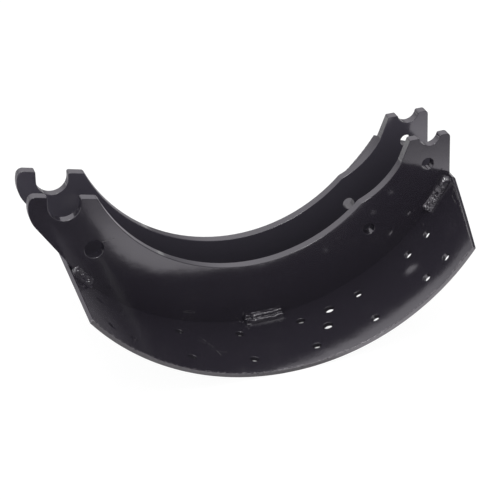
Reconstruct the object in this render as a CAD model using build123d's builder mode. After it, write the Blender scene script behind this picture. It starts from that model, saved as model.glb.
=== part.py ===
from build123d import *
import os
from math import cos, radians, sin

# Unlined brake shoe for a 16.5 inch S-cam drum brake, 8 5/8 inches wide, in millimetres.
# X runs from the anchor end to the cam end, Y lies along the drum axis and Z is up.
# The shoe stands on its curved table. The origin is on the anchor pin axis, midway between the webs.
# Angles are in degrees about the drum axis, from straight down, positive towards the cam end.
# The side profiles have the drum axis as their own origin.

os.makedirs("parts", exist_ok=True)

# Table: the rolled plate that the lining blocks are riveted to
table_radius = 190.5            # outer radius
table_thickness = 3.5
table_width = 219.0
table_anchor_angle = -54.9      # square end beside the anchor
table_cam_angle = 61.6          # end beside the cam
tongue_width = 68.0             # length of the square part of the cam end
corner_cut_angle = 53.4         # where the slanted cuts leave the side edges

# Rivet holes: rows spread evenly both ways from the lowest line, with one closer row at each end
rivet_hole_diameter = 6.9
rivet_row_pitch = 15.9
even_rivet_rows = 6
rivet_end_row_step = 6.85
rivet_inner_column = 48.3       # distance from the middle plane
rivet_outer_column = 88.5

# Tooling holes: two on each side of the cam half
tooling_hole_diameter = 8.2
inner_tooling_angle = 15.7
inner_tooling_column = 48.0
outer_tooling_angle = 13.1
outer_tooling_column = 68.0

# Webs: two like plates on edge, seated on the table's inner face
web_gap = 39.4
web_thickness = 8.0
web_depth = 50.5                # from the table to the concave edge, at the lowest line
throat_depth = 53.3             # from the table to the blunt corner where the throat begins
throat_angle = 41.4
throat_radius = 72.0
neck_depth = 44.9               # from the table to where the throat meets the cam hook's flank
neck_angle = 59.8
throat_corner_round = 4.0

# Anchor hook: a U-shaped seat for the anchor pin, inside a round back
anchor_pin_angle = -70.9
anchor_seat_radius = 12.85
anchor_pin_inset = 26.85        # from the table's inner radius to the pin axis
anchor_hook_wall = 15.4
heel_angle = -49.3              # where the straight heel under the hook leaves the table's curve
anchor_mouth_height = 6.55      # from the pin axis to the tips
anchor_mouth_tilt = -13.4       # slope of the line across the tips
anchor_throat_lean = -3.4       # lean of the U's straight walls from vertical
anchor_inner_tip_width = 12.4
anchor_back_round = 5.5
anchor_corner_round = 3.0

# Cam hook: a shallow round seat for the cam roller
cam_roller_angle = 70.9
cam_roller_inset = 30.3         # from the table's inner radius to the roller axis
cam_seat_radius = 9.0
cam_tip_drop = 1.2              # how far the tips stay below the roller axis
cam_inner_tip_width = 16.9      # from the roller axis to the tip's far corner
cam_outer_tip_width = 17.7
cam_back_angle = 62.0           # where the web's back edge meets the table's inner radius
cam_back_round = 3.2
tip_round = 1.6                 # corners at the mouths of both seats

# Holes through both webs, each inset from the table's inner radius
anchor_spring_hole_diameter = 15.2
anchor_spring_hole_angle = -54.5
anchor_spring_hole_inset = 24.3
return_spring_hole_diameter = 10.0
return_spring_hole_angle = 37.0
return_spring_hole_inset = 30.9
roller_clip_hole_diameter = 10.0
roller_clip_hole_angle = 62.4
roller_clip_hole_inset = 22.2

# Stitch welds between the webs' outer faces and the table, three on each web
weld_web_leg = 5.5              # height of the bead on the web
weld_table_leg = 7.5            # width of the bead on the table
weld_crown = 1.0                # how far the bead's face bulges past a straight line between its toes
weld_end_bevel = 2.0            # depth of the slope at each end of a bead, under that line
weld_end_setback = 0.4          # degrees between the table's end and the end stitches
anchor_stitch_span = 7.0
middle_stitch_span = 10.2
cam_stitch_span = 10.8


def on_arc(radius, angle):
    """Point of a side profile, by its distance from the drum axis and its angle."""
    return Vector(radius * sin(radians(angle)), -radius * cos(radians(angle)))


# Places that follow from the sizes
table_inner_radius = table_radius - table_thickness
anchor_hook_radius = anchor_seat_radius + anchor_hook_wall
anchor_seat = on_arc(table_inner_radius - anchor_pin_inset, anchor_pin_angle)
cam_seat = on_arc(table_inner_radius - cam_roller_inset, cam_roller_angle)
web_outer_face = web_gap / 2 + web_thickness
drum_axis = Vector(-anchor_seat.X, 0, -anchor_seat.Y)
side_plane = Plane(origin=drum_axis, x_dir=(1, 0, 0), z_dir=(0, -1, 0))


def radial_plane(radius, angle):
    """Plane square to a radius in the middle plane, with X along the curve and Z outwards."""
    spot = on_arc(radius, angle)
    outward = on_arc(1, angle)
    along = on_arc(1, angle + 90)
    return Plane(
        origin=drum_axis + Vector(spot.X, 0, spot.Y),
        x_dir=(along.X, 0, along.Y),
        z_dir=(outward.X, 0, outward.Y),
    )


def anchor_mouth_point(across):
    """Point on the line over the anchor hook's tips, by its place across the mouth."""
    return anchor_seat + Vector(across, anchor_mouth_height).rotate(Axis.Z, anchor_mouth_tilt)


# ---- table ----
last_even_row = rivet_row_pitch * (even_rivet_rows - 1) / 2
end_row = last_even_row + rivet_end_row_step
rivet_rows = [rivet_row_pitch * row - last_even_row for row in range(even_rivet_rows)]
rivet_rows += [-end_row, end_row]
rivet_columns = [-rivet_outer_column, -rivet_inner_column, rivet_inner_column, rivet_outer_column]
tooling_holes = [(inner_tooling_angle, inner_tooling_column), (outer_tooling_angle, outer_tooling_column)]
cut_middle_angle = (table_cam_angle + corner_cut_angle) / 2
cut_half_length = table_radius * sin(radians(table_cam_angle - cut_middle_angle))
cut_margin = 10.0               # how far the corner cuts reach outside the plate
cut_slope = (table_width - tongue_width) / 2 / (2 * cut_half_length)

with BuildPart() as shoe_table:
    with BuildSketch(side_plane):
        with BuildLine():
            sweep_angle = table_cam_angle - table_anchor_angle
            outer_edge = CenterArc((0, 0), table_radius, table_anchor_angle - 90, sweep_angle)
            inner_edge = CenterArc((0, 0), table_inner_radius, table_anchor_angle - 90, sweep_angle)
            Line(outer_edge @ 0, inner_edge @ 0)
            Line(outer_edge @ 1, inner_edge @ 1)
        make_face()
    extrude(amount=table_width / 2, both=True)
    for side in (-1, 1):
        with BuildSketch(radial_plane(table_radius, cut_middle_angle)):
            with BuildLine():
                Polyline(
                    (cut_half_length + cut_margin, side * (tongue_width / 2 - cut_margin * cut_slope)),
                    (-cut_half_length - cut_margin, side * (table_width / 2 + cut_margin * cut_slope)),
                    (cut_half_length + cut_margin, side * (table_width / 2 + cut_margin * cut_slope)),
                    close=True,
                )
            make_face()
        extrude(amount=3 * table_thickness, both=True, mode=Mode.SUBTRACT)
    with BuildSketch(*[radial_plane(table_radius, angle) for angle in rivet_rows]):
        with Locations(*[(0, column) for column in rivet_columns]):
            Circle(rivet_hole_diameter / 2)
    extrude(amount=2 * table_thickness, both=True, mode=Mode.SUBTRACT)
    for angle, column in tooling_holes:
        with BuildSketch(radial_plane(table_radius, angle)):
            with Locations((0, -column), (0, column)):
                Circle(tooling_hole_diameter / 2)
        extrude(amount=2 * table_thickness, both=True, mode=Mode.SUBTRACT)

shoe_table.part.label = "shoe_table"
export_step(shoe_table.part, "parts/shoe_table.step")

# ---- webs ----
back_tip_reach = (anchor_hook_radius**2 - anchor_mouth_height**2) ** 0.5
back_tip = anchor_mouth_point(-back_tip_reach)
inner_tip = anchor_mouth_point(anchor_seat_radius + anchor_inner_tip_width)
concave_middle = on_arc(table_inner_radius - web_depth, 0)
throat_start = on_arc(table_inner_radius - throat_depth, throat_angle)
throat_end = on_arc(table_inner_radius - neck_depth, neck_angle)
cam_tip_height = cam_seat.Y - cam_tip_drop
cam_inner_tip = Vector(cam_seat.X - cam_inner_tip_width, cam_tip_height)
cam_outer_tip = Vector(cam_seat.X + cam_outer_tip_width, cam_tip_height)
cam_mouth_reach = (cam_seat_radius**2 - cam_tip_drop**2) ** 0.5
u_height = anchor_hook_radius   # taller than the hook's tips, so that the U is open at the top

with BuildSketch() as web_profile:
    with BuildLine():
        seat = CenterArc((0, 0), table_inner_radius, heel_angle - 90, cam_back_angle - heel_angle)
        hook_circle = CenterArc(anchor_seat, anchor_hook_radius, 90, 180, mode=Mode.PRIVATE)
        heel = ConstrainedLines(hook_circle, seat @ 0, selector=lambda lines: lines.sort_by(Axis.X)[0])
        heel_top = heel.vertices().sort_by(Axis.Y)[-1]
        RadiusArc(heel_top, back_tip, anchor_hook_radius)
        Line(back_tip, inner_tip)
        ThreePointArc(inner_tip, concave_middle, throat_start)
        RadiusArc(throat_start, throat_end, -throat_radius)
        Polyline(throat_end, cam_inner_tip, cam_outer_tip, seat @ 1)
    make_face()
    with Locations(Location((anchor_seat.X, anchor_seat.Y), anchor_throat_lean)):
        Circle(anchor_seat_radius, mode=Mode.SUBTRACT)
        Rectangle(2 * anchor_seat_radius, u_height, align=(Align.CENTER, Align.MIN), mode=Mode.SUBTRACT)
    with Locations((cam_seat.X, cam_seat.Y)):
        Circle(cam_seat_radius, mode=Mode.SUBTRACT)
    corner_rounds = [
        (back_tip, anchor_back_round),
        (inner_tip, anchor_corner_round),
        (throat_start, throat_corner_round),
        (cam_outer_tip, cam_back_round),
        (cam_inner_tip, tip_round),
        (Vector(cam_seat.X - cam_mouth_reach, cam_tip_height), tip_round),
        (Vector(cam_seat.X + cam_mouth_reach, cam_tip_height), tip_round),
        (anchor_mouth_point(-anchor_seat_radius), tip_round),
        (anchor_mouth_point(anchor_seat_radius), tip_round),
    ]
    for corner, corner_round in corner_rounds:
        fillet(vertices().sort_by_distance(corner)[0], radius=corner_round)
    web_holes = [
        (anchor_spring_hole_angle, anchor_spring_hole_inset, anchor_spring_hole_diameter),
        (return_spring_hole_angle, return_spring_hole_inset, return_spring_hole_diameter),
        (roller_clip_hole_angle, roller_clip_hole_inset, roller_clip_hole_diameter),
    ]
    for angle, inset, diameter in web_holes:
        with Locations(on_arc(table_inner_radius - inset, angle)):
            Circle(diameter / 2, mode=Mode.SUBTRACT)


with BuildPart() as front_web:
    with BuildSketch(side_plane.offset(web_gap / 2)):
        add(web_profile.sketch)
    extrude(amount=web_thickness)

front_web.part.label = "front_web"
export_step(front_web.part, "parts/front_web.step")

with BuildPart() as rear_web:
    with BuildSketch(side_plane.offset(-web_gap / 2)):
        add(web_profile.sketch)
    extrude(amount=-web_thickness)

rear_web.part.label = "rear_web"
export_step(rear_web.part, "parts/rear_web.step")

# ---- stitch welds ----
# Each bead fills the corner between a web's outer face and the table, and is swept about the drum axis.
stitches = {
    "anchor": (table_anchor_angle + weld_end_setback, anchor_stitch_span),
    "middle": (-middle_stitch_span / 2, middle_stitch_span),
    "cam": (table_cam_angle - weld_end_setback - cam_stitch_span, cam_stitch_span),
}
for web_name, side in (("front", -1), ("rear", 1)):
    for place, (start_angle, span) in stitches.items():
        start = radial_plane(table_inner_radius, start_angle)
        finish = radial_plane(table_inner_radius, start_angle + span)
        section_plane = Plane(origin=start.origin, x_dir=(0, side, 0), z_dir=start.x_dir * side)
        table_toe = (web_outer_face + weld_table_leg, 0)
        web_toe = (web_outer_face, weld_web_leg)
        with BuildPart() as bead:
            with BuildSketch(section_plane):
                with BuildLine():
                    crown = SagittaArc(web_toe, table_toe, weld_crown, mode=Mode.PRIVATE) @ 0.5
                    Polyline(table_toe, (web_outer_face, 0), web_toe, crown, close=True)
                make_face()
            revolve(axis=Axis(drum_axis, (0, -1, 0)), revolution_arc=span)
            for end, inwards in ((start, start.x_dir), (finish, -finish.x_dir)):
                end_web_toe = end.origin + Vector(0, side * web_outer_face, 0) - end.z_dir * weld_web_leg
                end_table_toe = end.origin + Vector(0, side * (web_outer_face + weld_table_leg), 0)
                across = (end_table_toe - end_web_toe).normalized()
                proud = (inwards.cross(across) * side).normalized()
                slope = Plane(
                    origin=end_web_toe - proud * weld_end_bevel,
                    x_dir=across,
                    z_dir=proud - inwards,
                )
                split(bisect_by=slope, keep=Keep.BOTTOM)
        bead.part.label = f"weld_{web_name}_{place}"
        export_step(bead.part, f"parts/weld_{web_name}_{place}.step")
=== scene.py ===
from math import acos, atan2, cos, degrees, exp, hypot, pi, radians, sin, tan, tau

import bpy
from mathutils import Matrix, Vector, noise
from mathutils.geometry import delaunay_2d_cdt


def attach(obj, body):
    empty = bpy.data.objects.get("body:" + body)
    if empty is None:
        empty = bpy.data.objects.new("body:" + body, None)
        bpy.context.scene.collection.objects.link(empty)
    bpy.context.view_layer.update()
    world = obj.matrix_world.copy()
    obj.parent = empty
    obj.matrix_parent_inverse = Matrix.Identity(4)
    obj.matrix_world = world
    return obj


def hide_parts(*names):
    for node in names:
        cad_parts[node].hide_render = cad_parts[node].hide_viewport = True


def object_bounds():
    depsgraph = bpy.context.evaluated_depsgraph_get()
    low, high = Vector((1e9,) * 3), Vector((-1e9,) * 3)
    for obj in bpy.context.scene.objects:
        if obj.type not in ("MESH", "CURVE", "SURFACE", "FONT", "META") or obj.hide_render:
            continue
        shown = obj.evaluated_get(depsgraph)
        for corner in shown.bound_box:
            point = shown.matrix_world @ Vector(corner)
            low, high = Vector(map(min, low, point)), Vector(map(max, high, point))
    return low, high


# X runs from the anchor end to the cam end, Y along the drum axis and away from the viewer, Z up.
# Shapes are in millimetres, and meshFrom turns them into metres. Angles are in degrees about the
# drum axis: 0 is straight down, and they grow towards the cam end.
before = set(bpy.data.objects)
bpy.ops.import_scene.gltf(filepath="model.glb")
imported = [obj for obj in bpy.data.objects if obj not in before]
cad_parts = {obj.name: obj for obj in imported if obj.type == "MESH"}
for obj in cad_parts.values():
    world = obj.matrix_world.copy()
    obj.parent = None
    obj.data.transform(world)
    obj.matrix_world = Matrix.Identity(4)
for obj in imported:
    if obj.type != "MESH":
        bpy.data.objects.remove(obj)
cadLow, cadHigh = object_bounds()
drumAxis = Vector((151.334, 0.0, 52.404))
mm = 0.001
toRight, toBack, toTop = (1.0, 0.0, 0.0), (0.0, 1.0, 0.0), (0.0, 0.0, 1.0)


class Wire:
    # An output socket that takes part in plain arithmetic.
    def __init__(self, tree, socket):
        self.tree = tree
        self.socket = socket

    def maths(self, operation, *values):
        return self.tree.node("ShaderNodeMath", {"operation": operation}, dict(enumerate(values)))

    def __add__(self, other): return self.maths("ADD", self, other)
    def __radd__(self, other): return self.maths("ADD", other, self)
    def __sub__(self, other): return self.maths("SUBTRACT", self, other)
    def __rsub__(self, other): return self.maths("SUBTRACT", other, self)
    def __mul__(self, other): return self.maths("MULTIPLY", self, other)
    def __rmul__(self, other): return self.maths("MULTIPLY", other, self)
    def __truediv__(self, other): return self.maths("DIVIDE", self, other)
    def __rtruediv__(self, other): return self.maths("DIVIDE", other, self)
    def lowest(self, other): return self.maths("MINIMUM", self, other)
    def highest(self, other): return self.maths("MAXIMUM", self, other)

    def unsigned(self):
        return self.highest(self * -1.0)

    def ramp(self, low, high, toLow=0.0, toHigh=1.0):
        # A smooth step from one value to another.
        settings = {"interpolation_type": "SMOOTHSTEP"}
        return self.tree.node("ShaderNodeMapRange", settings, {0: self, 1: low, 2: high, 3: toLow, 4: toHigh})


class Material:
    # A material, or the world, that is built node by node.
    def __init__(self, name, data=None, end="ShaderNodeOutputMaterial"):
        self.data = data or bpy.data.materials.new(name)
        self.data.use_nodes = True
        self.nodes = self.data.node_tree.nodes
        self.links = self.data.node_tree.links
        self.nodes.clear()
        self.end = self.nodes.new(end)

    def node(self, kind, settings=None, inputs=None, output=0):
        new = self.nodes.new(kind)
        for key, value in (settings or {}).items():
            setattr(new, key, value)
        for key, value in (inputs or {}).items():
            if isinstance(value, Wire):
                self.links.new(value.socket, new.inputs[key])
            else:
                new.inputs[key].default_value = value
        return Wire(self, new.outputs[output])

    def vector(self, operation, first, second=(0.0, 0.0, 0.0), output=0):
        return self.node("ShaderNodeVectorMath", {"operation": operation}, {0: first, 1: second}, output)

    def scaled(self, vector, share):
        return self.node("ShaderNodeVectorMath", {"operation": "SCALE"}, {0: vector, 3: share})

    def along(self, vector, way):
        # How far a vector reaches in one direction.
        return self.vector("DOT_PRODUCT", vector, way, 1)

    def colour(self, factor, first, second):
        return self.node("ShaderNodeMix", {"data_type": "RGBA"}, {0: factor, 6: first, 7: second}, 2)

    def place(self):
        # Position on the object, in millimetres.
        return self.scaled(self.node("ShaderNodeTexCoord", output=3), 1000.0)

    def cloud(self, spot, size, detail, roughness):
        # Noise from 0 to 1 with features about as large as size.
        inputs = {"Vector": spot, "Scale": 1.0 / size, "Detail": detail, "Roughness": roughness}
        return self.node("ShaderNodeTexNoise", {}, inputs)

    def bump(self, height, distance, before=None):
        inputs = {"Height": height, "Distance": distance * mm, "Strength": 1.0}
        if before:
            inputs["Normal"] = before
        return self.node("ShaderNodeBump", {}, inputs)

    def lineMask(self, spot, start, finish, width):
        # 1 on a line between two points, 0 away from it.
        run = Vector(finish) - Vector(start)
        reach = self.vector("SUBTRACT", spot, tuple(start))
        share = self.along(reach, tuple(run)) / run.length_squared
        share = share.highest(0.0).lowest(1.0)
        nearest = self.scaled(tuple(run), share)
        away = self.vector("LENGTH", self.vector("SUBTRACT", reach, nearest), output=1)
        return away.ramp(width * 0.4, width, 1.0, 0.0)

    def finish(self, shader):
        self.links.new(shader.socket, self.end.inputs["Surface"])
        return self.data


def onArc(radius, angle):
    return Vector((radius * sin(radians(angle)), -radius * cos(radians(angle))))


def direction(vector):
    return degrees(atan2(vector.y, vector.x))


def arcPoints(centre, radius, first, last, step=3.0):
    # Points from one direction to another about a centre, in degrees from +X.
    count = max(2, round(abs(last - first) / step))
    turns = [radians(first + (last - first) * i / count) for i in range(count + 1)]
    return [centre + Vector((cos(turn), sin(turn))) * radius for turn in turns]


def arcThrough(first, last, centre, clockwise=False):
    # The arc from one point to another round a centre.
    start = direction(first - centre)
    sweep = (direction(last - centre) - start) % 360
    if clockwise:
        sweep -= 360
    return arcPoints(centre, (first - centre).length, start, start + sweep)


def sideCentre(first, last, radius):
    # Centre of the arc of that radius, to the left of the line from first to last.
    half = (last - first) / 2
    rise = (radius**2 - half.length_squared) ** 0.5
    return first + half + Vector((-half.y, half.x)).normalized() * rise


def circleCentre(first, middle, last):
    # Centre of the circle through three points.
    one, two = first - middle, last - middle
    cross = 2 * (one.x * two.y - one.y * two.x)
    return middle + Vector((
        (two.y * one.length_squared - one.y * two.length_squared) / cross,
        (one.x * two.length_squared - two.x * one.length_squared) / cross,
    ))


def roundHole(x, y, radius, sides):
    # A clockwise loop.
    turns = [-tau * i / sides for i in range(sides)]
    return [Vector((x + radius * cos(turn), y + radius * sin(turn))) for turn in turns]


def roundCorner(loop, corner, radius):
    # Replaces the loop's point nearest to corner by an arc that touches both sides.
    count = len(loop)
    spot = min(range(count), key=lambda i: (loop[i] - corner).length)
    tip = loop[spot]
    before = (tip - loop[spot - 1]).normalized()
    after = (loop[(spot + 1) % count] - tip).normalized()
    turn = before.angle_signed(after)      # clockwise is positive
    cut = radius * tan(abs(turn) / 2)

    def walk(way):
        left, here, i = cut, tip, spot
        while True:
            i = (i + way) % count
            step = (loop[i] - here).length
            if step > left:
                return here.lerp(loop[i], left / step), i
            left, here = left - step, loop[i]

    start, previous = walk(-1)
    finish, following = walk(1)
    inward = (after - before).normalized()
    centre = tip + inward * (radius / cos(turn / 2))
    fan = arcThrough(start, finish, centre, clockwise=turn > 0)
    shift = finish - fan[-1]
    fan = [point + shift * i / (len(fan) - 1) for i, point in enumerate(fan)]
    kept = []
    i = following
    while True:
        kept.append(loop[i])
        if i == previous:
            break
        i = (i + 1) % count
    return kept + fan


def pairs(loop):
    return zip(loop, loop[1:] + loop[:1])


def spaced(loop, step, closest=0.06):
    # The same closed loop with no side shorter than closest or much longer than step.
    loop = [here for here, following in pairs(loop) if (following - here).length > closest]
    dense = []
    for here, following in pairs(loop):
        parts = max(1, round((following - here).length / step))
        dense += [here.lerp(following, i / parts) for i in range(parts)]
    return dense


def outwards(loop):
    # Unit normals to the right of a loop: away from the metal for an outline that runs
    # anticlockwise and for a hole that runs clockwise.
    normals = []
    for i, here in enumerate(loop):
        before, after = here - loop[i - 1], loop[(i + 1) % len(loop)] - here
        mean = before.normalized() + after.normalized()
        normals.append(Vector((mean.y, -mean.x)).normalized())
    return normals


def insideLoop(spot, loop):
    inside = False
    x, y = spot
    for first, second in zip(loop, loop[-1:] + loop[:-1]):
        if (first.y > y) != (second.y > y):
            if x < (second.x - first.x) * (y - first.y) / (second.y - first.y) + first.x:
                inside = not inside
    return inside


def addPiece(name, data):
    piece = bpy.data.objects.new(name, data)
    bpy.context.scene.collection.objects.link(piece)
    return piece


def meshFrom(name, points, faces, normals=None):
    data = bpy.data.meshes.new(name)
    data.from_pydata([point * mm for point in points], [], faces)
    data.update()
    data.shade_smooth()
    if normals:
        data.normals_split_custom_set_from_vertices(normals)
    return addPiece(name, data)


# how plate rounds and fills every sheet
sheet = {
    "roundSteps": 3,
    "crispShare": 0.12,                # how much of the rounding is left where an edge is crisp
    "raggedRings": (0.3, 0.5, 0.7),    # more rings down a ragged edge, as shares of the thickness
    "holeReach": 30.0,                 # more than any hole is wide
    "mergeWithin": 1e-5,
}


def edgeRings(thickness, edgeRound, ragged):
    # From one face round the edge to the other: inset, depth and the normal's turn.
    upper = []
    for step in range(sheet["roundSteps"] + 1):
        turn = pi / 2 * step / sheet["roundSteps"]
        upper.append((edgeRound * (1 - sin(turn)), edgeRound * (1 - cos(turn)), turn))
    lower = [(inset, thickness - depth, pi - turn) for inset, depth, turn in reversed(upper)]
    middle = [(0.0, thickness * share, pi / 2) for share in sheet["raggedRings"]] if ragged else []
    return upper + middle + lower


def plate(name, loops, thickness, rounds, bend, innerPoints=(), ragged=None, crisp=None):
    # A sheet with rounded edges and holes. loops are the outline and then the holes, laid flat,
    # and rounds the radius of each one's edge. bend gives the place and the frame of a flat point
    # at a depth, ragged how far the cut edge lies in from the outline there, and crisp where the
    # edge is hardly rounded.
    points, faces, normals = [], [], []

    def rimSpot(spot, normal, inset, depth):
        extra = ragged(spot, depth) if ragged else 0.0
        return spot - normal * (inset + extra)

    rims = []
    for loop, edgeRound in zip(loops, rounds):
        rings = edgeRings(thickness, edgeRound, ragged)
        sharp = [crisp(spot) if crisp else False for spot in loop]
        loopNormals = outwards(loop)
        starts = []
        for ringInset, ringDepth, turn in rings:
            starts.append(len(points))
            for spot, normal, isSharp in zip(loop, loopNormals, sharp):
                inset, depth = ringInset, ringDepth
                if isSharp:
                    inset *= sheet["crispShare"]
                    face = 0.0 if depth < thickness / 2 else thickness
                    depth = face + sheet["crispShare"] * (depth - face)
                flat = rimSpot(spot, normal, inset, ringDepth)
                place, along, across, up = bend(flat.x, flat.y, depth)
                points.append(place)
                side = along * normal.x + across * normal.y
                normals.append((up * cos(turn) + side * sin(turn)).normalized())
        for first, second in zip(starts, starts[1:]):
            for i in range(len(loop)):
                j = (i + 1) % len(loop)
                faces.append((first + i, second + i, second + j, first + j))
        insets = [edgeRound * (sheet["crispShare"] if isSharp else 1.0) for isSharp in sharp]
        rims.append((loop, loopNormals, insets, starts))

    for level, depth, facing in ((0, 0.0, 1), (-1, thickness, -1)):
        inputs, index, edges, flatLoops = [], [], [], []
        for loop, loopNormals, insets, starts in rims:
            first = len(inputs)
            flat = [rimSpot(*each, depth) for each in zip(loop, loopNormals, insets)]
            index += [starts[level] + i for i in range(len(loop))]
            inputs += flat
            flatLoops.append(flat)
            edges += [(first + i, first + (i + 1) % len(loop)) for i in range(len(loop))]
        for spot in innerPoints:
            place, along, across, up = bend(spot.x, spot.y, depth)
            index.append(len(points))
            points.append(place)
            normals.append(up * facing)
            inputs.append(spot)
        filled = delaunay_2d_cdt(inputs, edges, [], 0, sheet["mergeWithin"], True)
        spots, triangles, sources = filled[0], filled[2], filled[3]
        for triangle in triangles:
            middle = sum((spots[i] for i in triangle), Vector((0, 0))) / 3
            near = [hole for hole in flatLoops[1:] if (hole[0] - middle).length < sheet["holeReach"]]
            if insideLoop(middle, flatLoops[0]) and not any(insideLoop(middle, hole) for hole in near):
                corners = tuple(index[sources[i][0]] for i in triangle)
                faces.append(corners if facing > 0 else corners[::-1])
    along, across, up = bend(0.0, 0.0, 0.0)[1:]
    if along.cross(across).dot(up) < 0:
        faces = [face[::-1] for face in faces]
    return meshFrom(name, points, faces, normals)


# gloss black paint, with a slight purple cast
paint = {
    "colour": (0.0215, 0.0190, 0.0262, 1.0),
    "roughness": 0.075,
    "gloss": 1.95,                     # index of refraction of the wet-looking paint
    "dusty": (0.0400, 0.0365, 0.0430, 1.0),
    "patches": (34.0, 4.0, 0.6),       # each noise has a size, a detail and a roughness, and each
    "patchFade": (0.48, 0.74),         # fade gives the noise where a thing begins and is full
    "specks": (2.2, 2.0, 0.6),
    "speckFade": (0.42, 0.72),
    "dustShare": 0.55,
    "marks": (9.0, 6.0, 0.7),          # dull marks from handling
    "markFade": (0.60, 0.76),
    "markShare": 0.35,
    "patchRough": 0.05,
    "dustRough": 0.16,
    "markRough": 0.10,
    "peel": (1.4, 2.0, 0.5),           # orange peel, and the sags that the wet paint left
    "peelHeight": 0.012,
    "sags": (16.0, 2.0, 0.45),
    "sagHeight": 0.10,
    "between": (19.75, 20.15),         # painted fill light: the faces between the webs are painted lighter, where shade falls in the gap
    "inside": (0.0540, 0.0500, 0.0640, 1.0),
    # scratches, and a painted highlight along the table's slanted rim
    "scratchAndHighlightColour": (0.085, 0.082, 0.085, 1.0),
    "scratchAndHighlightShare": 0.8,
    "scratchRough": 0.15,
    "scratchAndHighlightGaps": (3.0, 3.0, 0.6),
    "scratchAndHighlightFade": (0.36, 0.58),
    "cutColour": (0.16, 0.15, 0.16, 1.0),
    "cutShare": 0.58,
    "cutRough": 0.25,
    "cutReach": 0.25,
    "burrReach": (2.6, 1.4),           # how far in from the sheared edge burrs begin, and are full
    "burrs": (2.6, 2.0, 0.6),
    "burrFade": (0.53, 0.58),
    "roughest": 0.9,
}


def paintMaterial(name, dull=0.0, scratchesAndHighlights=(), cutAt=None):
    # cutAt is how far from the middle plane the rough, sheared edges begin.
    made = Material(name)
    spot = made.place()
    patches = made.cloud(spot, *paint["patches"])
    specks = made.cloud(spot, *paint["specks"])
    dust = patches.ramp(*paint["patchFade"]) * specks.ramp(*paint["speckFade"]) * paint["dustShare"]
    marks = made.cloud(spot, *paint["marks"]).ramp(*paint["markFade"]) * paint["markShare"]
    lines = None
    for start, finish, width in scratchesAndHighlights:
        line = made.lineMask(spot, start, finish, width)
        lines = line if lines is None else lines.highest(line)
    tint = made.colour((dust + marks).lowest(1.0), paint["colour"], paint["dusty"])
    # painted fill light: a lighter colour on the faces between the webs lifts the shade in the gap
    aside = made.along(spot, toBack).unsigned()
    tint = made.colour(aside.ramp(*paint["between"], 1.0, 0.0), tint, paint["inside"])
    rough = paint["roughness"] + dull + patches * paint["patchRough"]
    rough = rough + dust * paint["dustRough"] + marks * paint["markRough"]
    if lines is not None:
        # scratches, and the painted highlight on the table's slanted rim, in a lighter colour
        faint = lines * made.cloud(spot, *paint["scratchAndHighlightGaps"]).ramp(*paint["scratchAndHighlightFade"])
        tint = made.colour(faint * paint["scratchAndHighlightShare"], tint, paint["scratchAndHighlightColour"])
        rough = rough + faint * paint["scratchRough"]
    peel = made.bump(made.cloud(spot, *paint["peel"]), paint["peelHeight"])
    sags = made.bump(made.cloud(spot, *paint["sags"]), paint["sagHeight"], peel)
    if cutAt:
        cut = aside.ramp(cutAt - paint["cutReach"], cutAt)
        burrs = aside.ramp(*(cutAt - reach for reach in paint["burrReach"]))
        burrs = burrs * made.cloud(spot, *paint["burrs"]).ramp(*paint["burrFade"])
        tint = made.colour(cut.highest(burrs) * paint["cutShare"], tint, paint["cutColour"])
        rough = rough + cut * paint["cutRough"]
    shader = made.node("ShaderNodeBsdfPrincipled", {}, {
        "Base Color": tint,
        "Roughness": rough.lowest(paint["roughest"]),
        "Normal": sags,
        "IOR": paint["gloss"],
    })
    return made.finish(shader)


def coat(piece, material, *nodes):
    piece.data.materials.clear()
    piece.data.materials.append(material)
    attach(piece, "root")
    if nodes:
        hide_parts(*nodes)
    return piece


table = {
    "radius": 190.5,
    "thickness": 3.5,
    "width": 219.0,
    "anchorAngle": -54.9,
    "camAngle": 61.6,
    "tongueWidth": 68.0,
    "cutAngle": 53.4,                  # the two slanted cuts begin here
    "cutParts": 12,
    "edgeRound": 0.55,
    "rimRound": 0.35,
    "anchorRimRound": 0.10,            # the two rows nearest the anchor end hardly show
    "anchorRimsFrom": -30.0,
    "holeTaper": 0.45,                 # how much narrower a hole is at the outer face
    "holeSides": 32,
    "rivetHole": 6.9,
    "rowPitch": 15.9,
    "evenRows": 6,
    "endRowStep": 6.85,
    "columns": (48.3, 88.5),
    "toolingHole": 8.2,
    "tooling": ((15.7, 48.0), (13.1, 68.0)),
    "outlineStep": 0.9,
    "gridAlong": 3.3,                  # points inside the sheet, so that it bends smoothly
    "gridAcross": 6.6,
    "gridClear": 1.6,                  # room left round the holes, at the sides and at the cam end
    "gridSides": 2.5,
    "gridEnd": 2.0,
    "toothPitch": 5.6,                 # the ragged marks that the shear left
    "toothDepth": 0.34,
    "toothStart": 0.45,                # they begin at this share of the thickness
    "toothDrift": (1.2, 0.03),         # how much and how quickly their spacing wanders
    "toothSize": (0.6, 0.7, 0.11),     # their least size, and how much and how quickly it varies
    "toothGrain": 0.05,
    "endGrain": (0.04, 0.4),           # the same for the end and the slanted cuts
    "shearReach": (0.5, 0.1),          # how near a long edge the marks and the rough look begin
    "holesReach": (1.0, 3.0),          # holes lie at least this many degrees and millimetres in
    "dull": 0.015,
}
tableInner = table["radius"] - table["thickness"]
rimLength = radians(1.0) * table["radius"]      # along the outer face, for one degree


def bendTable(along, across, depth):
    turn = radians(along / rimLength)
    out = Vector((sin(turn), 0.0, -cos(turn)))
    run = Vector((cos(turn), 0.0, sin(turn)))
    place = drumAxis + out * (table["radius"] - depth) + Vector((0.0, across, 0.0))
    return place, run, Vector(toBack), out


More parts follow.
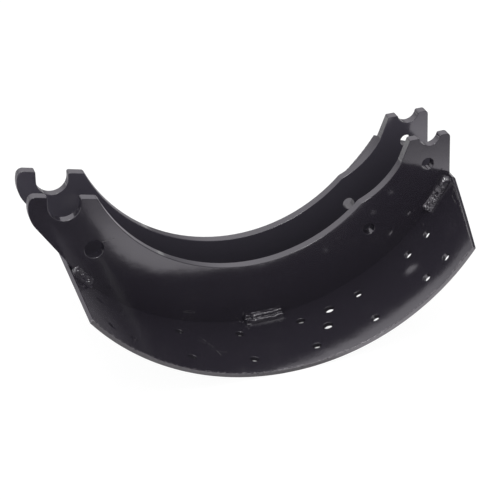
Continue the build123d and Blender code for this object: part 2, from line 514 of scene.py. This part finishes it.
def tableOutline():
    # The slanted cuts are straight in the real plate, so they curve a little once it is laid flat.
    half, tongue = table["width"] / 2, table["tongueWidth"] / 2
    start, cut, end = (table[key] * rimLength for key in ("anchorAngle", "cutAngle", "camAngle"))
    middle = (table["camAngle"] + table["cutAngle"]) / 2
    reach = table["radius"] * sin(radians(table["camAngle"] - middle))
    slant = []
    for i in range(table["cutParts"] + 1):
        turn = cut + (end - cut) * i / table["cutParts"]
        offset = table["radius"] * sin(radians(turn / rimLength - middle))
        slant.append((turn, half + (tongue - half) * (offset + reach) / (2 * reach)))
    near = [Vector((start, -half))] + [Vector((turn, -width)) for turn, width in slant]
    far = [Vector((turn, width)) for turn, width in reversed(slant)] + [Vector((start, half))]
    return spaced(near + far, table["outlineStep"])


def shearedEdge(spot, depth):
    # How far the edge lies in from its outline at a depth below the outer face.
    past, share = spot.x / rimLength, depth / table["thickness"]
    half = table["width"] / 2
    fromEnd, fromEdge = table["holesReach"]
    lengthwise = table["anchorAngle"] + fromEnd < past < table["cutAngle"] - fromEnd
    if lengthwise and abs(spot.y) < half - fromEdge:             # a hole
        return table["holeTaper"] * (share - 1)
    if abs(spot.y) < half - table["shearReach"][0]:              # the end or a slanted cut
        amount, pace = table["endGrain"]
        return amount * noise.noise(Vector((spot.x * pace, spot.y * pace, depth)))
    # a long edge: smooth near the outer face, torn in short teeth near the inner one
    amount, pace = table["toothDrift"]
    drift = amount * noise.noise(Vector((spot.x * pace, spot.y, 3.0)))
    wave = 0.5 + 0.5 * cos(tau * (spot.x / table["toothPitch"] + drift))
    least, amount, pace = table["toothSize"]
    size = least + amount * noise.noise(Vector((spot.x * pace, spot.y, 9.0)))
    torn = max(0.0, (share - table["toothStart"]) / (1 - table["toothStart"]))
    grain = table["toothGrain"] * torn * (1 + noise.noise(Vector((spot.x, spot.y, depth))))
    return table["toothDepth"] * torn * size * wave**3 + grain


lastEven = table["rowPitch"] * (table["evenRows"] - 1) / 2
rows = [table["rowPitch"] * i - lastEven for i in range(table["evenRows"])]
rows += [-lastEven - table["endRowStep"], lastEven + table["endRowStep"]]
spots = [(row, column, table["rivetHole"]) for row in rows for column in table["columns"]]
spots += [(turn, column, table["toolingHole"]) for turn, column in table["tooling"]]
holes = [(turn, side * column, size) for turn, column, size in spots for side in (-1, 1)]
tableLoops = [tableOutline()]
tableRounds = [table["edgeRound"]]
for turn, column, size in holes:
    tableLoops.append(roundHole(turn * rimLength, column, size / 2, table["holeSides"]))
    tableRounds.append(table["anchorRimRound"] if turn < table["anchorRimsFrom"] else table["rimRound"])


def isClear(spot):
    # Away from the holes and inside the outline.
    past = (spot.x / rimLength - table["cutAngle"]) / (table["camAngle"] - table["cutAngle"])
    half = (table["width"] + (table["tongueWidth"] - table["width"]) * max(0.0, past + 0.1)) / 2
    if abs(spot.y) >= half - table["gridSides"] or spot.x >= table["camAngle"] * rimLength - table["gridEnd"]:
        return False
    return all(
        hypot(spot.x - turn * rimLength, spot.y - column) > size / 2 + table["gridClear"]
        for turn, column, size in holes
    )


gridCount = round((table["camAngle"] - table["anchorAngle"]) * rimLength / table["gridAlong"])
gridHalf = int(table["width"] / 2 / table["gridAcross"])
grid = []
for i in range(1, gridCount):
    x = table["anchorAngle"] * rimLength + i * table["gridAlong"]
    grid += [Vector((x, j * table["gridAcross"])) for j in range(-gridHalf, gridHalf + 1)]
grid = [spot for spot in grid if isClear(spot)]

# each line, a scratch or the painted rim highlight, is its start, its finish and its width
tableScratchesAndRimHighlight = [
    ((91.1, -53.5, -124.6), (97.0, -67.1, -126.5), 0.55),
    ((97.0, -67.1, -126.5), (100.7, -82.6, -127.6), 0.45),
    ((98.4, -76.0, -127.2), (107.4, -76.1, -129.4), 0.35),
    ((88.0, -58.0, -123.6), (92.6, -63.5, -125.2), 0.30),
    # painted highlight: a lighter, mottled line along the rim of the slanted cut
    ((314.3, -37.0, -38.8), (308.9, -70.0, -48.2), 1.10),
    ((308.9, -70.0, -48.2), (301.7, -107.6, -58.8), 0.90),
    ((312.9, -44.0, -41.5), (310.2, -48.0, -46.4), 0.90),
    ((310.2, -48.0, -46.4), (309.2, -58.0, -48.0), 0.80),
]
cutAt = table["width"] / 2 - table["shearReach"][1]
tableMaterial = paintMaterial("paintTable", table["dull"], tableScratchesAndRimHighlight, cutAt)
tablePiece = plate("tableSheet", tableLoops, table["thickness"], tableRounds, bendTable, grid, shearedEdge)
coat(tablePiece, tableMaterial, "shoe_table")
print("table:", len(tablePiece.data.polygons), "faces")

web = {
    "gap": 39.4,
    "thickness": 8.0,
    "depth": 50.5,
    "throatDepth": 53.3,
    "throatAngle": 41.4,
    "throatRadius": 72.0,
    "throatRound": 4.0,
    "neckDepth": 44.9,
    "neckAngle": 59.8,
    "pinAngle": -70.9,                 # the open U for the anchor pin
    "pinInset": 26.85,
    "seatRadius": 12.85,
    "hookWall": 15.4,
    "heelAngle": -49.3,
    "mouthHeight": 6.55,
    "mouthTilt": -13.4,
    "throatLean": -3.4,
    "innerTip": 12.4,
    "backRound": 5.5,
    "innerRound": 3.0,
    "rollerAngle": 70.9,               # the notch for the cam roller
    "rollerInset": 30.3,
    "rollerSeat": 9.0,
    "tipDrop": 1.2,
    "camInnerTip": 16.9,
    "camOuterTip": 17.7,
    "camBackAngle": 62.0,
    "camBackRound": 3.2,
    "tipRound": 1.6,
    "holes": ((-54.5, 24.3, 15.2), (37.0, 30.9, 10.0), (62.4, 22.2, 10.0)),     # angle, inset, size
    "holeSides": 48,
    "edgeRound": 0.55,
    "outlineStep": 3.0,
}
webOuterFace = web["gap"] / 2 + web["thickness"]
pin = onArc(tableInner - web["pinInset"], web["pinAngle"])
roller = onArc(tableInner - web["rollerInset"], web["rollerAngle"])


def turned(vector, angle):
    return Matrix.Rotation(radians(angle), 2) @ Vector(vector)


def webOutline():
    hookRadius = web["seatRadius"] + web["hookWall"]
    height, tilt, lean = web["mouthHeight"], web["mouthTilt"], web["throatLean"]
    heel = onArc(tableInner, web["heelAngle"])
    foot = arcPoints(Vector((0, 0)), tableInner, web["heelAngle"] - 90, web["camBackAngle"] - 90, 1.0)
    backTip = pin + turned((-(hookRadius**2 - height**2) ** 0.5, height), tilt)
    innerTip = pin + turned((web["seatRadius"] + web["innerTip"], height), tilt)
    lowest = onArc(tableInner - web["depth"], 0)
    throatStart = onArc(tableInner - web["throatDepth"], web["throatAngle"])
    neck = onArc(tableInner - web["neckDepth"], web["neckAngle"])
    tipHeight = roller.y - web["tipDrop"]
    camInner = Vector((roller.x - web["camInnerTip"], tipHeight))
    camOuter = Vector((roller.x + web["camOuterTip"], tipHeight))
    reach = (web["rollerSeat"] ** 2 - web["tipDrop"] ** 2) ** 0.5
    right, left = (Vector((roller.x + side * reach, tipHeight)) for side in (1, -1))
    camSeat = arcThrough(right, left, roller, True)
    throat = arcThrough(neck, throatStart, sideCentre(throatStart, neck, web["throatRadius"]), True)
    bow = arcThrough(throatStart, innerTip, circleCentre(innerTip, lowest, throatStart), True)
    # the U's straight walls lean a little, and its bottom is round
    slope = radians(lean - tilt)
    walls = []
    for side in (1, -1):
        run = (height - side * web["seatRadius"] * sin(slope)) / cos(slope)
        walls.append(pin + turned((side * web["seatRadius"], run), lean))
    right, left = (pin + turned((side * web["seatRadius"], 0), lean) for side in (1, -1))
    bottom = arcThrough(right, left, pin, True)
    # the heel is straight and touches the hook's round back
    tangent = direction(heel - pin) - degrees(acos(hookRadius / (heel - pin).length))
    heelTop = pin + Vector((cos(radians(tangent)), sin(radians(tangent)))) * hookRadius
    back = arcThrough(backTip, heelTop, pin)
    loop = foot + [camOuter] + camSeat + [camInner] + throat
    loop += bow[1:] + [walls[0]] + bottom + [walls[1]] + back
    corners = [
        (backTip, web["backRound"]),
        (innerTip, web["innerRound"]),
        (throatStart, web["throatRound"]),
        (camOuter, web["camBackRound"]),
    ]
    corners += [(corner, web["tipRound"]) for corner in (camInner, camSeat[0], camSeat[-1], *walls)]
    for corner, radius in corners:
        loop = roundCorner(loop, corner, radius)
    return loop


def onTheTable(spot):
    angle = degrees(atan2(spot.x, -spot.y))
    return abs(spot.length - tableInner) < 0.2 and web["heelAngle"] < angle < web["camBackAngle"]


webLoops = [spaced(webOutline(), web["outlineStep"])]
for turn, inset, size in web["holes"]:
    middle = onArc(tableInner - inset, turn)
    webLoops.append(roundHole(middle.x, middle.y, size / 2, web["holeSides"]))
webRounds = [web["edgeRound"]] * len(webLoops)
webScratches = [
    ((23.5, -27.7, -37.4), (35.9, -27.7, -35.7), 0.40),
    ((86.0, -27.7, -115.4), (94.5, -27.7, -117.0), 0.35),
    ((84.5, -27.7, -114.0), (92.0, -27.7, -114.6), 0.30),
]
webMaterial = paintMaterial("paintWeb", scratchesAndHighlights=webScratches)
for label, lowFace in (("Front", -webOuterFace), ("Rear", web["gap"] / 2)):
    # the flat outline is seen from -Y, so the sheet starts at its face with the lower Y
    def bendWeb(x, y, depth):
        place = drumAxis + Vector((x, lowFace + depth, y))
        return place, Vector(toRight), Vector(toTop), -Vector(toBack)

    webPiece = plate(f"web{label}", webLoops, web["thickness"], webRounds, bendWeb, crisp=onTheTable)
    coat(webPiece, webMaterial, f"{label.lower()}_web")
    print("web:", label, len(webPiece.data.polygons), "faces")

weld = {
    "webLeg": 5.5,
    "tableLeg": 7.5,
    "setback": 0.4,
    "spans": {"anchor": 7.0, "middle": 10.2, "cam": 10.8},
    "ripplePitch": 1.9,
    "rippleBow": 1.6,                  # how far a ripple lags at the bead's toes
    "endSize": 0.25,                   # how large the bead still is at its ends
    "faceShape": 0.7,                  # below 1 the bulge and the grooves are fuller
    "grooveShape": 0.8,
    "crownShare": 0.85,
    "overlap": 0.05,                   # how deep the hidden corner lies in the web and the table
    "stepsAlong": 170,
    "stepsAcross": 26,
    # what wavers along a bead: how much, how quickly, and which layer of the noise it reads
    "tableLegWaver": (0.13, 0.23, 4.0),
    "webLegWaver": (0.16, 0.19, 0.0),
    "rippleWaver": (0.5, 0.3, 6.0),
    "grooveWaver": (0.10, 0.22, 2.0),
    "grooveDepth": (0.8, 0.3, 12.0),
    # the same over its face: how much, how quickly along and across, and the layer
    "crownWaver": (0.35, 0.16, 0.2, 8.0),
    "lumps": (0.42, 0.55, 0.5, 0.0),
    "grain": (0.07, 1.6, 1.4, 0.0),
}
# for each bead: its size along the table and up the web, its bulge, how rippled and lumpy each end
# is, how deep its two long ridges are, how far each end tapers, and single blobs as share along,
# share up, radius and height
beads = {
    "frontAnchor": {
        "legs": (0.95, 1.15), "crown": (-0.75, -0.75), "ripple": (0.05, 0.05), "lump": (0.5, 0.5),
        "ridge": 0.0, "taper": (3.0, 5.0),
        "blobs": (
            (0.16, 0.62, 0.9, 1.3), (0.26, 0.78, 0.7, 1.1), (0.33, 0.60, 0.8, -0.8), (0.42, 0.72, 0.6, 0.9),
            (0.62, 0.80, 0.8, 0.9), (0.70, 0.62, 0.9, 1.2), (0.74, 0.46, 0.7, 1.0), (0.66, 0.34, 0.7, 0.8),
            (0.90, 0.70, 0.7, 0.8), (0.48, 0.25, 0.7, 0.7),
        ),
    },
    "frontMiddle": {
        "legs": (1.05, 1.12), "crown": (1.9, 2.1), "ripple": (0.03, 0.03), "lump": (0.7, 0.30),
        "ridge": 1.9, "taper": (2.0, 1.2),
        "blobs": (
            (0.05, 0.25, 1.6, 1.4), (0.12, 0.70, 1.5, 1.6), (0.22, 0.62, 0.9, -1.0), (0.50, 0.50, 1.3, -0.5),
            (0.93, 0.72, 1.9, 1.2), (0.80, 0.50, 1.2, -0.6),
        ),
    },
    "frontCam": {
        "legs": (0.88, 1.05), "crown": (-0.2, 2.3), "ripple": (0.12, 0.05), "lump": (1.1, 0.2),
        "ridge": 0.0, "taper": (3.5, 6.0),
        "blobs": (
            (0.06, 0.45, 1.9, 1.9), (0.08, 0.50, 0.8, -1.8), (0.20, 0.70, 1.2, 1.0), (0.30, 0.30, 1.2, 0.8),
            (0.40, 0.60, 1.0, -0.9), (0.50, 0.50, 1.1, -2.2), (0.56, 0.80, 0.8, 0.8), (0.45, 0.85, 0.8, 0.7),
            (0.78, 0.50, 3.2, 0.8),
        ),
    },
    "rearAnchor": {
        "legs": (1.0, 1.0), "crown": (1.0, 1.2), "ripple": (0.35, 0.25), "lump": (1.4, 1.2),
        "ridge": 0.3, "taper": (3.0, 3.0),
        "blobs": ((0.9, 0.5, 2.2, 1.0),),
    },
    "rearMiddle": {
        "legs": (0.95, 1.0), "crown": (1.1, 1.1), "ripple": (0.35, 0.35), "lump": (1.0, 1.3),
        "ridge": 0.5, "taper": (3.0, 3.0),
        "blobs": ((0.06, 0.5, 2.2, 1.0),),
    },
    "rearCam": {
        "legs": (0.95, 1.05), "crown": (1.0, 1.4), "ripple": (0.30, 0.35), "lump": (1.3, 1.4),
        "ridge": 0.2, "taper": (3.0, 3.5),
        "blobs": ((0.94, 0.5, 2.0, -0.9),),
    },
}


def waver(key, run, seed):
    amount, pace, layer = weld[key]
    return amount * noise.noise(Vector((run * pace, seed, layer)))


def faceWaver(key, run, width, seed):
    amount, pace, paceAcross, layer = weld[key]
    return amount * noise.noise(Vector((run * pace, width * paceAcross, seed + layer)))


def weldBead(name, side, start, span, seed, look):
    # A bead whose face runs from the toe on the table to the toe on the web.
    points, faces = [], []
    length = radians(span) * tableInner
    for i in range(weld["stepsAlong"] + 1):
        share = i / weld["stepsAlong"]
        turn = start + span * share
        run = share * length
        end = min(run / look["taper"][0], (length - run) / look["taper"][1], 1.0)
        full = (1 - (1 - end) ** 2) ** 0.5
        crown, ripple, lump = (
            look[key][0] * (1 - share) + look[key][1] * share for key in ("crown", "ripple", "lump")
        )
        size = weld["endSize"] + (1 - weld["endSize"]) * full
        tableLeg = weld["tableLeg"] * look["legs"][0] * size * (1 + lump * waver("tableLegWaver", run, seed))
        webLeg = weld["webLeg"] * look["legs"][1] * size * (1 + lump * waver("webLegWaver", run, seed))
        slant = hypot(tableLeg, webLeg)
        profile = []
        for j in range(weld["stepsAcross"] + 1):
            rise = j / weld["stepsAcross"]
            width = rise * slant
            crest = crown * (weld["crownShare"] + lump * faceWaver("crownWaver", run, width, seed))
            lag = weld["rippleBow"] * (2 * rise - 1) ** 2
            tooth = ((run - lag) / weld["ripplePitch"] + waver("rippleWaver", run, seed)) % 1.0
            crest += ripple * (tooth * (1 - tooth) * 4 - 0.5) + ripple * 0.5 * (tooth - 0.5)
            groove = 1 - abs(sin(tau * (rise + waver("grooveWaver", run, seed)))) ** weld["grooveShape"]
            crest -= look["ridge"] * groove * (1 + waver("grooveDepth", run, seed))
            crest += lump * faceWaver("lumps", run, width, seed) + faceWaver("grain", run, width, seed)
            for blobShare, blobRise, radius, height in look["blobs"]:
                away = hypot(run - blobShare * length, width - blobRise * slant) / radius
                crest += height * exp(-away * away)
            crest *= full * sin(pi * rise) ** weld["faceShape"]
            out = tableLeg * (1 - rise) + crest * webLeg / slant
            up = webLeg * rise + crest * tableLeg / slant
            profile.append((max(-0.02, out), max(-0.02, up)))
        hidden = -weld["overlap"]
        profile += [(hidden, webLeg * 0.97), (hidden, hidden), (tableLeg * 0.97, hidden)]
        for out, up in profile:
            spot = onArc(tableInner - up, turn)
            points.append(drumAxis + Vector((spot.x, side * (webOuterFace + out), spot.y)))
    width = len(points) // (weld["stepsAlong"] + 1)
    for i in range(weld["stepsAlong"]):
        for j in range(width):
            a, b = i * width + j, i * width + (j + 1) % width
            faces.append((a, b, b + width, a + width))
    faces.append(tuple(range(width))[::-1])
    faces.append(tuple(range(len(points) - width, len(points))))
    if side < 0:
        faces = [face[::-1] for face in faces]
    return meshFrom(name, points, faces)


weldMaterial = paintMaterial("paintWeld", dull=0.03)
seed = 1.0
for label, side in (("front", -1), ("rear", 1)):
    for where, span in weld["spans"].items():
        seed += 3.7
        begin = {
            "anchor": table["anchorAngle"] + weld["setback"],
            "middle": -span / 2,
            "cam": table["camAngle"] - weld["setback"] - span,
        }[where]
        look = beads[label + where.title()]
        bead = weldBead(f"weld{label.title()}{where.title()}", side, begin, span, seed, look)
        coat(bead, weldMaterial, f"weld_{label}_{where}")
print("welds:", len(beads), "beads")

# drops of weld metal that stuck beside the beads: on the table angle, distance across and radius,
# on the web angle, height above the table and radius
spatter = {
    "table": (
        (-6.2, -29.4, 0.8), (-5.5, -31.0, 0.5), (61.0, -41.0, 0.8), (60.2, -37.5, 0.5), (59.4, -35.2, 0.4),
        (-43.6, -38.5, 0.5), (4.9, -38.0, 0.45), (47.6, -36.0, 0.55), (-8.0, -31.5, 0.4),
    ),
    "web": (
        (-21.2, 1.3, 0.75), (-36.4, 2.0, 0.55), (-6.8, 2.6, 0.5), (-19.6, 7.0, 0.4), (49.0, 9.5, 0.5),
        (46.8, 2.5, 0.5), (-43.5, 9.0, 0.55), (-42.6, 6.0, 0.45),
    ),
    "sides": 12,
    "rings": 6,
    "stretch": 1.15,
    "height": 0.85,
    "sunk": 0.1,
}


def drop(points, faces, spot, along, across, up, radius):
    # Half a ball, slightly sunk into the surface.
    first = len(points)
    sides, rings = spatter["sides"], spatter["rings"]
    for ring in range(rings):
        lift = pi / 2 * ring / rings
        for i in range(sides):
            turn = tau * i / sides
            flat = along * cos(turn) * spatter["stretch"] + across * sin(turn)
            rise = spatter["height"] * sin(lift) - spatter["sunk"]
            points.append(spot + flat * radius * cos(lift) + up * radius * rise)
    points.append(spot + up * radius * (spatter["height"] - spatter["sunk"]))
    for ring in range(rings - 1):
        for i in range(sides):
            a, b = first + ring * sides + i, first + ring * sides + (i + 1) % sides
            faces.append((a, b, b + sides, a + sides))
    base = first + (rings - 1) * sides
    faces += [(base + i, base + (i + 1) % sides, len(points) - 1) for i in range(sides)]
    faces.append(tuple(first + i for i in range(sides))[::-1])


points, faces = [], []
for turn, across, radius in spatter["table"]:
    slope = radians(turn)
    up, along = Vector((-sin(slope), 0.0, cos(slope))), Vector((cos(slope), 0.0, sin(slope)))
    place = drumAxis - up * tableInner + Vector((0.0, across, 0.0))
    drop(points, faces, place, along, up.cross(along), up, radius)
for turn, height, radius in spatter["web"]:
    spot = onArc(tableInner - height, turn)
    place = drumAxis + Vector((spot.x, -webOuterFace, spot.y))
    drop(points, faces, place, Vector(toRight), Vector(toTop), -Vector(toBack), radius)
coat(meshFrom("spatter", points, faces), weldMaterial)
print("spatter:", len(spatter["table"]) + len(spatter["web"]), "drops")

studio = {
    "floor": 0.90,
    "floorSize": 6.0,                  # in metres, to each side
    "floorDrop": 0.0002,
    "floorGlow": 0.88,                 # how much of the floor's look is plain white rather than lit
    "floorWhite": 1.08,
    "shadowX": (15.0, 55.0),           # the floor within these distances of the shoe's middle is
    "shadowY": (66.0, 98.0),           # lit, and plain white beyond
    "world": 0.85,
    "sheen": (1.0, 0.965, 1.03, 1),    # the light that the gloss sees
    "low": 0.45, "high": 0.92,         # its strength at the horizon and up high
    "rise": (0.0, 0.50),
    "right": (0.35, 0.75, 1.0, 0.22),
    "ahead": (-0.84, -0.50, 0.12, 1.0),
}
floorZ = cadLow.z - studio["floorDrop"]


def stagedSheet(name, low, high, height):
    # A level sheet that isn't part of the object, in metres.
    data = bpy.data.meshes.new(name)
    corners = (low, (high[0], low[1]), high, (low[0], high[1]))
    data.from_pydata([(x, y, height) for x, y in corners], [], [(0, 1, 2, 3)])
    sheetPiece = addPiece(name, data)
    return sheetPiece


def seenOrMirrored(look):
    seen = look.node("ShaderNodeLightPath", output=0)
    return seen.highest(look.node("ShaderNodeLightPath", output=3))


reach = studio["floorSize"]
floorPiece = stagedSheet("floor", (-reach, -reach), (reach, reach), floorZ)
floorLook = Material("floor")
lit = floorLook.node("ShaderNodeBsdfDiffuse", {}, {"Color": (studio["floor"],) * 3 + (1.0,)})
glow = floorLook.node("ShaderNodeEmission", {}, {"Color": (1, 1, 1, 1), "Strength": studio["floorWhite"]})
spot = floorLook.place()
beside = (floorLook.along(spot, toRight) - drumAxis.x).unsigned().ramp(*studio["shadowX"])
before = floorLook.along(spot, toBack).unsigned().ramp(*studio["shadowY"])
share = seenOrMirrored(floorLook) * beside.highest(before) * studio["floorGlow"]
mixed = floorLook.node("ShaderNodeMixShader", {}, {0: share, 1: lit, 2: glow})
floorPiece.data.materials.append(floorLook.finish(mixed))

# a glowing sheet that only the gloss sees paints the floor's reflection: a painted lit patch in front, and
# painted shadow beneath the shoe, by the anchor end and behind
front = {
    "low": (-0.9, -1.2),
    "high": (1.2, 1.6),
    "lift": 0.0005,
    "left": 48.0,                      # the lit patch begins right of this and
    "ahead": -108.0,                   # this far in front, with a rounded corner
    "corner": (1150.0, 1750.0),
    "shade": 0.05,
    "fade": (-290.0, -198.0, 0.42, 1.0),       # where the patch fades out, away from the shoe
    "far": (-430.0, -300.0, 0.2, 1.0),
    "behind": (40.0, 160.0, 0.0, 0.42),
    "strength": 1.1,
}
frontPiece = stagedSheet("front", front["low"], front["high"], floorZ + front["lift"])
frontPiece.visible_camera = frontPiece.visible_diffuse = frontPiece.visible_shadow = False
frontLook = Material("front")
spot = frontLook.place()
right, back = frontLook.along(spot, toRight), frontLook.along(spot, toBack)
inCorner = (right - front["left"]).highest(0.0) * (front["ahead"] - back).highest(0.0)
lightShare = inCorner.ramp(*front["corner"], front["shade"], 1.0)
lightShare = lightShare * back.ramp(*front["fade"]) * back.ramp(*front["far"])
lightShare = lightShare.highest(back.ramp(*front["behind"]))
tone = frontLook.colour(lightShare, (0, 0, 0, 1), studio["sheen"])
glow = frontLook.node("ShaderNodeEmission", {}, {"Color": tone, "Strength": front["strength"]})
frontPiece.data.materials.append(frontLook.finish(glow))

world = bpy.data.worlds.new("studio")
bpy.context.scene.world = world
sky = Material("studio", world, "ShaderNodeOutputWorld")
towards = sky.node("ShaderNodeTexCoord", output=0)
shine = sky.along(towards, toTop).ramp(*studio["rise"], studio["low"], studio["high"])
shine = shine * sky.along(towards, toRight).ramp(*studio["right"])
shine = shine * sky.along(towards, toBack).ramp(*studio["ahead"])
plain = sky.node("ShaderNodeBackground", {}, {"Color": (1.0, 1.0, 1.0, 1.0), "Strength": studio["world"]})
glossy = sky.node("ShaderNodeBackground", {}, {"Color": sky.colour(shine, (0, 0, 0, 1), studio["sheen"])})
sky.finish(sky.node("ShaderNodeMixShader", {}, {0: seenOrMirrored(sky), 1: plain, 2: glossy}))

# place and size in metres, and power in watts
lampAim = Vector((0.15, 0.0, -0.06))
lamps = {
    "overhead": {"place": (0.15, 0.25, 1.5), "size": (1.4, 1.0), "power": 1.2},
    "key": {"place": (-0.15, -0.35, 1.2), "size": (0.45, 0.35), "power": 4.0},
    "box": {"place": (0.45, -0.95, 1.6), "size": (0.75, 0.60), "power": 3.0},
}
for name, lamp in lamps.items():
    data = bpy.data.lights.new(name, "AREA")
    data.shape = "RECTANGLE"
    data.size, data.size_y = lamp["size"]
    data.energy = lamp["power"]
    lampPiece = addPiece(name, data)
    lampPiece.location = lamp["place"]
    lampPiece.rotation_euler = (lampAim - Vector(lamp["place"])).to_track_quat("-Z", "Y").to_euler()

camera = {
    "place": (-0.18351, -1.22185, 0.62260),
    "right": (0.95403109, -0.29436344, -0.0563457),
    "down": (-0.19113435, -0.45276131, -0.87090462),
    "ahead": (0.23085132, 0.84163968, -0.48821133),
    "lens": 127.56,
    "sensor": 36.0,
}
cameraData = bpy.data.cameras.new("camera")
cameraData.lens = camera["lens"]
cameraData.sensor_width = camera["sensor"]
cameraPiece = addPiece("camera", cameraData)
sight = Matrix((Vector(camera["right"]), -Vector(camera["down"]), -Vector(camera["ahead"]))).transposed()
cameraPiece.matrix_world = Matrix.Translation(camera["place"]) @ sight.to_4x4()
bpy.context.scene.camera = cameraPiece
bpy.context.scene.view_settings.view_transform = "Standard"
print("studio:", len(lamps), "lamps")
